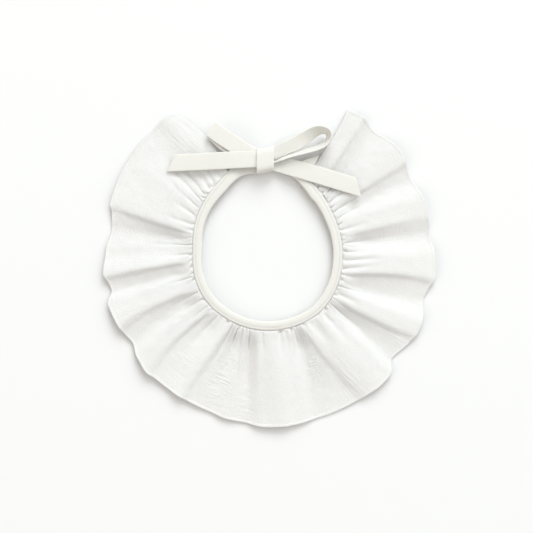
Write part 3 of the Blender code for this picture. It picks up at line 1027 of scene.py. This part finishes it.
@dataclass
class Binding:
    """The tape folded over the frill's gathered edge, and its two ends on their way to the knot.

    Lengths are in millimetres.

    Attributes:
        cloth: Its finish.
        leg: The thickness of each of its two legs.
        gap: The space between the legs, where the frill is.
        strap_wall: The thickness of its pressed ends.
        slot_floor: The width of the fold at its inner edge, where there is no slot.
        stations: Sections round the neck.
        strap_stations: Sections along each end.
        stitch_inset: How far the stitches are from its outer edge.
        pull_pitch: The distance between the dips that the stitches pull.
        cut: The flat tape's length and width over both legs, in metres; not used.
    """

    cloth: bpy.types.Material
    leg: float = 0.95
    gap: float = 1.8
    strap_wall: float = 2.0
    slot_floor: float = 2.6
    stations: int = 420
    strap_stations: int = 22
    stitch_inset: float = 2.1
    pull_pitch: float = 1.5
    cut: tuple[float, float] = (0.38, 0.015)

    def path(self) -> np.ndarray:
        """Sets out the binding's sections, from the left end round the neck to the right end.

        Returns:
            Each section's inner edge, height, direction across, width and slot depth.
        """
        angles = np.linspace(NECK[0].angle, NECK[-1].angle, self.stations)[4:-4]
        radius, width = neck_edge(angles)
        place = NECK_CENTRE + direction(angles) * radius[:, None]
        heights = np.full(len(angles), RING_HEIGHT)
        ring = np.column_stack([place, heights, angles, width, width - self.slot_floor])
        left = np.array([tuple(row) for row in LEFT_STRAP])
        right = np.array([tuple(row) for row in RIGHT_STRAP])
        right[:, 3] += 360.0
        left = catmull(left, np.linspace(0, len(left) - 1, self.strap_stations))
        right = catmull(right, np.linspace(0, len(right) - 1, self.strap_stations))
        return np.concatenate([left, ring, right])

    def section(self, row: np.ndarray, run: float) -> np.ndarray:
        """One section of the folded tape, open outwards over the frill.

        Args:
            row: The section's line of the path.
            run: How far along the binding it is, in millimetres.

        Returns:
            Its points.
        """
        x, y, z, across, width, slot = row
        full = smooth(slot / (7.0 - self.slot_floor))
        thick = mix(self.strap_wall, 2 * self.leg + self.gap, full) / 2
        gap = thick - self.leg if thick > self.leg + 0.3 else 0.3
        pull = 0.12 * full * (0.5 + 0.5 * math.cos(run * 2 * math.pi / self.pull_pitch))
        crown = 0.10
        upper = [
            (width - 0.1, thick - 0.8 * full - 0.1),
            (width - 0.5, thick - 0.3 * full),
            (width - 1.3, thick - 0.05 * full),
            (width - self.stitch_inset, thick - 0.3 * full - pull),
            (width - 2.9, thick),
            (0.5 * width, thick + crown),
            (0.3 * width, thick + 0.7 * crown),
            (1.2, thick - 0.1 * full),
            (0.5, thick * 0.86),
            (0.12, thick * 0.5),
            (0.0, 0.0),
        ]
        lower = [(w, -h) for w, h in reversed(upper[:-1])]
        slot_walls = [(width, -gap), (width - slot, -gap), (width - slot, gap), (width, gap)]
        outline = np.array(upper + lower + slot_walls)
        out = direction(across)
        return np.column_stack([x + out[0] * outline[:, 0], y + out[1] * outline[:, 0], z + outline[:, 1]])

    def build(self) -> bpy.types.Object:
        """Makes the binding with its two ends.

        Returns:
            The piece.
        """
        path = self.path()
        run = run_along(path[:, :3])
        sections = np.array([self.section(row, length) for row, length in zip(path, run)])
        girth = run_along(sections[len(sections) // 2])
        return lofted("binding_tape", sections, self.cloth, girth)

    def seam(self, side: int) -> np.ndarray:
        """Finds the line that the stitches follow.

        Args:
            side: 1 for the upper face and -1 for the lower.

        Returns:
            Its points, in millimetres.
        """
        path = self.path()[self.strap_stations : -self.strap_stations]
        out = direction(path[:, 3])
        place = path[:, :2] + out * (path[:, 4:5] - self.stitch_inset)
        height = path[:, 2:3] + side * ((2 * self.leg + self.gap) / 2 - 0.26)
        return np.column_stack([place, height])


@dataclass
class Ribbon:
    """One stretch of the tie: a strip folded flat and pressed, with soft edges.

    Attributes:
        name: The piece's name.
        rows: Its sections.
        cloth: Its finish.
        cut: The flat tape's length and width, in metres; not used.
        wall: Its thickness, in millimetres.
        per_row: Mesh sections between two rows.
        pinch: How deep the tucks at the knot are, in millimetres.
        pinch_run: How fast the tucks die away from the knot, in millimetres.
        closed_loop: Whether both its ends are at the knot.
    """

    name: str
    rows: list[Tape]
    cloth: bpy.types.Material
    cut: tuple[float, float]
    wall: float = 1.05
    per_row: int = 9
    pinch: float = 0.3
    pinch_run: float = 4.0
    closed_loop: bool = False

    def frames(self) -> tuple[np.ndarray, np.ndarray, np.ndarray]:
        """Sets out the sections along the ribbon.

        Returns:
            Each section's middle, half its width as a vector, with the cut's slant, and its normal.
        """
        table = np.array([tuple(row) for row in self.rows])
        places = np.linspace(0, len(table) - 1, (len(table) - 1) * self.per_row + 1)
        fine = catmull(table, places)
        centres = fine[:, :3]
        ahead = np.gradient(centres, axis=0)
        ahead /= np.linalg.norm(ahead, axis=1, keepdims=True)
        lean = np.radians(fine[:, 4:5])
        across = np.column_stack([direction(fine[:, 3]) * np.cos(lean), np.sin(lean)])
        across -= ahead * np.einsum("ij,ij->i", ahead, across)[:, None]
        across /= np.linalg.norm(across, axis=1, keepdims=True)
        normal = np.cross(ahead, across)
        return centres, across * fine[:, 5:6] / 2 - ahead * fine[:, 6:7], normal

    def build(self) -> bpy.types.Object:
        """Makes the ribbon's closed thin shell.

        Returns:
            The piece.
        """
        centres, across, normal = self.frames()
        side = np.array([place for place, _ in RIBBON_HALF] + [-place for place, _ in RIBBON_HALF[-2::-1]])
        lift = np.array([rise for _, rise in RIBBON_HALF + RIBBON_HALF[-2::-1]]) * self.wall
        run = run_along(centres)
        near = np.exp(-run / self.pinch_run)
        if self.closed_loop:
            near = near + np.exp(-(run[-1] - run) / self.pinch_run)
        ring = np.concatenate([side, side[-2:0:-1]])
        heights = np.concatenate([lift, -lift[-2:0:-1]])
        tucks = self.pinch * np.cos(ring * 7.0)[None, :] * near[:, None]
        lengthwise, sideways = run[:, None] / 6.0 + 0 * ring[None, :], ring[None, :] * 1.6 + 0 * run[:, None]
        unevenness = 0.07 * cloud(lengthwise, sideways, SEED + len(self.name))
        offset = heights[None, :] + tucks + unevenness
        sections = centres[:, None] + across[:, None] * ring[None, :, None]
        sections = sections + normal[:, None] * offset[..., None]
        sections[..., 2] = np.maximum(sections[..., 2], 0.05)
        girth = (ring + 1.0) * 6.4
        return lofted(self.name, sections, self.cloth, girth)


@dataclass
class Knot:
    """The tape wrapped round the middle of the bow.

    Lengths are in millimetres.

    Attributes:
        cloth: Its finish.
        bottom: The height of its underside.
        top: The height of its top.
        corner: The radius of its rounded corners.
        square: How boxy its section is, less being boxier.
        lip: How much its two edges stand out.
        crease: How deep its soft creases are.
        stations: Sections along X.
        around: Points round a section.
        cut: The flat tape's length and width, in metres; not used.
    """

    cloth: bpy.types.Material
    bottom: float = 1.5
    top: float = 13.2
    corner: float = 2.6
    square: float = 0.35
    lip: float = 0.22
    crease: float = 0.16
    stations: int = 30
    around: int = 96
    cut: tuple[float, float] = (0.048, TAPE_WIDTH)

    def build(self) -> bpy.types.Object:
        """Makes the wrap, with soft creases that run round it.

        Returns:
            The piece.
        """
        table = np.array([tuple(row) for row in KNOT])
        fine = catmull(table, np.linspace(0, len(table) - 1, self.stations))
        turn = np.linspace(0, 2 * np.pi, self.around, endpoint=False)
        flat_y = np.sign(np.cos(turn)) * np.abs(np.cos(turn)) ** self.square
        flat_z = np.sign(np.sin(turn)) * np.abs(np.sin(turn)) ** self.square
        middle_z = (self.top + self.bottom) / 2
        sections = []
        for x, low, high, swell in fine:
            half_y = (high - low) / 2 - self.corner
            half_z = (self.top - self.bottom) / 2 * swell - self.corner
            share = (x - fine[0, 0]) / (fine[-1, 0] - fine[0, 0])
            lip = self.lip * (np.exp(-((share - 0.06) / 0.06) ** 2) + np.exp(-((share - 0.94) / 0.06) ** 2))
            crease = self.crease * cloud(np.full(self.around, share * 3.0), turn * 0.5, SEED + 9)
            radius = self.corner + lip + crease
            y = flat_y * half_y + radius * np.cos(turn)
            z = flat_z * half_z + radius * np.sin(turn)
            sections.append(np.column_stack([np.full(self.around, x), (low + high) / 2 + y, middle_z + z]))
        return lofted("knot_wrap", np.array(sections), self.cloth, turn * 9.0)


@dataclass
class Stitching:
    """Rows of short stitches along seams, set out by a node tree.

    Attributes:
        thread: Its finish.
        pitch: The distance between two stitches, in millimetres.
        length: A stitch's length, in millimetres.
        thickness: The thread's thickness, in millimetres.
        names: The node tree's own identifiers of its inputs.
    """

    thread: bpy.types.Material
    pitch: float = 1.5
    length: float = 0.75
    thickness: float = 0.42
    names: dict[str, str] = field(default_factory=dict)

    def tree(self) -> bpy.types.NodeTree:
        """Builds the node tree that sets stitches along a line.

        Returns:
            The tree.
        """
        tree = bpy.data.node_groups.new("stitches along a seam", "GeometryNodeTree")
        face = tree.interface
        face.new_socket("Geometry", in_out="INPUT", socket_type="NodeSocketGeometry")
        for name in ("Pitch", "Length", "Thickness"):
            self.names[name] = face.new_socket(name, in_out="INPUT", socket_type="NodeSocketFloat").identifier
        thread = face.new_socket("Thread", in_out="INPUT", socket_type="NodeSocketMaterial")
        self.names["Thread"] = thread.identifier
        face.new_socket("Geometry", in_out="OUTPUT", socket_type="NodeSocketGeometry")
        bench = NodeBench(tree)
        source, sink = bench.add("NodeGroupInput"), bench.add("NodeGroupOutput")
        curve = bench.add("GeometryNodeMeshToCurve")
        spaced = bench.add("GeometryNodeResampleCurve", mode="LENGTH")
        ball = bench.add("GeometryNodeMeshUVSphere")
        ball.inputs["Segments"].default_value = 6
        ball.inputs["Rings"].default_value = 4
        ball.inputs["Radius"].default_value = 0.5
        shape = bench.add("ShaderNodeCombineXYZ")
        place = bench.add("GeometryNodeInstanceOnPoints")
        tangent = bench.add("GeometryNodeInputTangent")
        turn = bench.add("FunctionNodeAlignRotationToVector", axis="X")
        real = bench.add("GeometryNodeRealizeInstances")
        finish = bench.add("GeometryNodeSetMaterial")
        bench.link(source.outputs["Geometry"], curve.inputs["Mesh"])
        bench.link(curve.outputs[0], spaced.inputs["Curve"])
        bench.link(source.outputs["Pitch"], spaced.inputs["Length"])
        bench.link(spaced.outputs[0], place.inputs["Points"])
        bench.link(ball.outputs["Mesh"], place.inputs["Instance"])
        bench.link(tangent.outputs[0], turn.inputs["Vector"])
        bench.link(turn.outputs[0], place.inputs["Rotation"])
        bench.link(source.outputs["Length"], shape.inputs["X"])
        bench.link(source.outputs["Thickness"], shape.inputs["Y"])
        bench.link(source.outputs["Thickness"], shape.inputs["Z"])
        bench.link(shape.outputs[0], place.inputs["Scale"])
        bench.link(place.outputs[0], real.inputs[0])
        bench.link(real.outputs[0], finish.inputs["Geometry"])
        bench.link(source.outputs["Thread"], finish.inputs["Material"])
        bench.link(finish.outputs[0], sink.inputs[0])
        return tree

    def build(self, name: str, seams: Sequence[np.ndarray]) -> bpy.types.Object:
        """Sews along some lines.

        Args:
            name: The piece's name.
            seams: The lines, each a row of points in millimetres.

        Returns:
            One plain mesh of all the stitches.
        """
        points = np.concatenate(seams) * MM
        edges, start = [], 0
        for seam in seams:
            edges += [(k, k + 1) for k in range(start, start + len(seam) - 1)]
            start += len(seam)
        guide_mesh = bpy.data.meshes.new(name + "_line")
        guide_mesh.from_pydata(points.tolist(), edges, [])
        guide = bpy.data.objects.new(name + "_line", guide_mesh)
        bpy.context.scene.collection.objects.link(guide)
        modifier = guide.modifiers.new("stitches", "NODES")
        modifier.node_group = self.tree()
        modifier[self.names["Pitch"]] = self.pitch * MM
        modifier[self.names["Length"]] = self.length * MM
        modifier[self.names["Thickness"]] = self.thickness * MM
        modifier[self.names["Thread"]] = self.thread
        graph = bpy.context.evaluated_depsgraph_get()
        mesh = bpy.data.meshes.new_from_object(guide.evaluated_get(graph))
        mesh.shade_smooth()
        bpy.data.objects.remove(guide, do_unlink=True)
        piece = bpy.data.objects.new(name, mesh)
        bpy.context.scene.collection.objects.link(piece)
        return piece


@dataclass
class Studio:
    """The white ground, the soft light and the camera straight above.

    Attributes:
        width: How much of the ground the camera sees from side to side, in metres.
        lens: The camera's focal length, in millimetres.
        sensor: Its sensor's width, in millimetres.
        aim: Where on the ground it looks, in metres.
        exposure: How much brighter the picture is made, in stops.
        sky: The colour of the light from all round.
        sky_strength: How strong that light is.
        ground: The ground's finish.
    """

    width: float = 0.4
    lens: float = 100.0
    sensor: float = 36.0
    aim: tuple[float, float] = (-0.0022, 0.0012)
    exposure: float = -0.045
    sky: tuple[float, float, float] = (1.0, 0.962, 0.912)
    sky_strength: float = 0.635
    ground: PaperFinish = PaperFinish("ground", (0.82, 0.82, 0.82))

    def build(self) -> None:
        """Sets up the ground, the lights, the world and the camera."""
        bpy.ops.mesh.primitive_plane_add(size=6.0, location=(0.0, 0.0, -0.0002))
        floor = bpy.context.object
        floor.name = "ground"
        floor.data.materials.append(self.ground.make())
        self.lamp("key", azimuth=45.0, elevation=52.0, distance=6.0, size=7.0, power=165.0)
        self.lamp("top", azimuth=78.0, elevation=38.0, distance=6.0, size=3.2, power=215.0)
        warm = (1.0, 0.95, 0.88)
        self.lamp("fill", azimuth=205.0, elevation=36.0, distance=6.0, size=3.6, power=45.0, tint=warm)
        world = bpy.context.scene.world or bpy.data.worlds.new("studio")
        bpy.context.scene.world = world
        world.use_nodes = True
        background = world.node_tree.nodes["Background"]
        background.inputs["Color"].default_value = self.sky + (1.0,)
        background.inputs["Strength"].default_value = self.sky_strength
        data = bpy.data.cameras.new("above")
        data.lens, data.sensor_width = self.lens, self.sensor
        data.clip_end = 20.0
        camera = bpy.data.objects.new("above", data)
        camera.location = (self.aim[0], self.aim[1], self.width * self.lens / self.sensor)
        bpy.context.scene.collection.objects.link(camera)
        bpy.context.scene.camera = camera
        settings = bpy.context.scene.view_settings
        settings.view_transform = "Standard"
        settings.exposure = self.exposure

    def lamp(
        self,
        name: str,
        azimuth: float,
        elevation: float,
        distance: float,
        size: float,
        power: float,
        tint: tuple[float, float, float] = (0.905, 0.972, 1.0),
    ) -> None:
        """Adds one soft square light that faces the collar.

        Args:
            name: Its name.
            azimuth: Where it stands, in degrees counterclockwise from +X.
            elevation: How high it stands, in degrees.
            distance: How far it is from the collar, in metres.
            size: Its side, in metres.
            power: Its power, in watts.
            tint: The colour of its light.
        """
        data = bpy.data.lights.new(name, "AREA")
        data.size, data.energy = size, power
        data.color = tint
        lamp = bpy.data.objects.new(name, data)
        flat = direction(azimuth) * math.cos(math.radians(elevation))
        lamp.location = Vector((flat[0], flat[1], math.sin(math.radians(elevation)))) * distance
        lamp.rotation_euler = (-Vector(lamp.location)).to_track_quat("-Z", "Y").to_euler()
        bpy.context.scene.collection.objects.link(lamp)


@dataclass
class Collar:
    """The whole collar: frill, binding and bow.

    Attributes:
        gauze: The frill's finish.
        tape: The finish of the binding and the bow.
        thread: The stitches' finish, its colour darkened well below the ivory tape's as painted shade of the
            stitch holes.
    """

    gauze: ClothFinish = ClothFinish(
        name="double gauze",
        colour=(0.806, 0.799, 0.786),
        drift=0.026,
        thread=0.8,
        weave=0.06,
        crepe=0.36,
        crepe_size=(0.95, 1.1),
        glow=0.2,
        ripple=1.0,
    )
    tape: ClothFinish = ClothFinish(
        name="pressed tape",
        colour=(0.765, 0.755, 0.715),
        drift=0.008,
        thread=0.55,
        weave=0.02,
        crepe=0.05,
        crepe_size=(1.5, 1.5),
        glow=0.2,
        ripple=0.0,
    )
    # The thread's grey-brown colour is painted shade: the real thread is ivory, and the darkening stands for
    # the shadows in and beside each stitch.
    thread: ThreadFinish = ThreadFinish("ivory thread with painted shade", (0.50, 0.485, 0.445))

    def finish(self, piece: bpy.types.Object, slot: Slot, *nodes: str) -> None:
        """Puts a piece in the frame.

        Args:
            piece: The piece.
            slot: Its material slot in the record; not used.
            *nodes: The solids that it stands for, if any.
        """
        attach(piece, BODY)
        if nodes:
            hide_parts(*nodes)
        LOG.info("%s: %d faces", piece.name, len(piece.data.polygons))

    def build(self) -> None:
        gauze, tape = self.gauze.make(), self.tape.make()
        frill_maker, binding_maker, knot_maker = Frill(gauze), Binding(tape), Knot(tape)
        left_loop = Ribbon("loop_left_tape", LEFT_LOOP, tape, (0.082, TAPE_WIDTH), closed_loop=True)
        right_loop = Ribbon("loop_right_tape", RIGHT_LOOP, tape, (0.09, TAPE_WIDTH), closed_loop=True)
        ribbons = [
            (left_loop, "bow_loop_left"),
            (right_loop, "bow_loop_right"),
            (Ribbon("tail_left_tape", LEFT_TAIL, tape, (0.067, TAPE_WIDTH)), "bow_tail_left"),
            (Ribbon("tail_right_tape", RIGHT_TAIL, tape, (0.067, TAPE_WIDTH)), "bow_tail_right"),
            (Ribbon("strap_corner_tape", STRAP_CORNER, tape, (0.016, TAPE_WIDTH)), ""),
        ]
        frill = frill_maker.build()
        self.finish(frill, Slot.GAUZE, "frill")
        binding = binding_maker.build()
        self.finish(binding, Slot.TAPE, "neck_binding")
        knot = knot_maker.build()
        self.finish(knot, Slot.TAPE, "bow_knot")
        for ribbon, node in ribbons:
            piece = ribbon.build()
            self.finish(piece, Slot.TAPE, *([node] if node else []))
        stitching = Stitching(self.thread.make())
        sewn = stitching.build("binding_stitches", [binding_maker.seam(1), binding_maker.seam(-1)])
        self.finish(sewn, Slot.TAPE)


def main() -> None:
    """Loads the frame and builds the studio and the collar."""
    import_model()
    Studio().build()
    Collar().build()


if __name__ == "__main__":
    logging.basicConfig(level=logging.INFO)
    main()
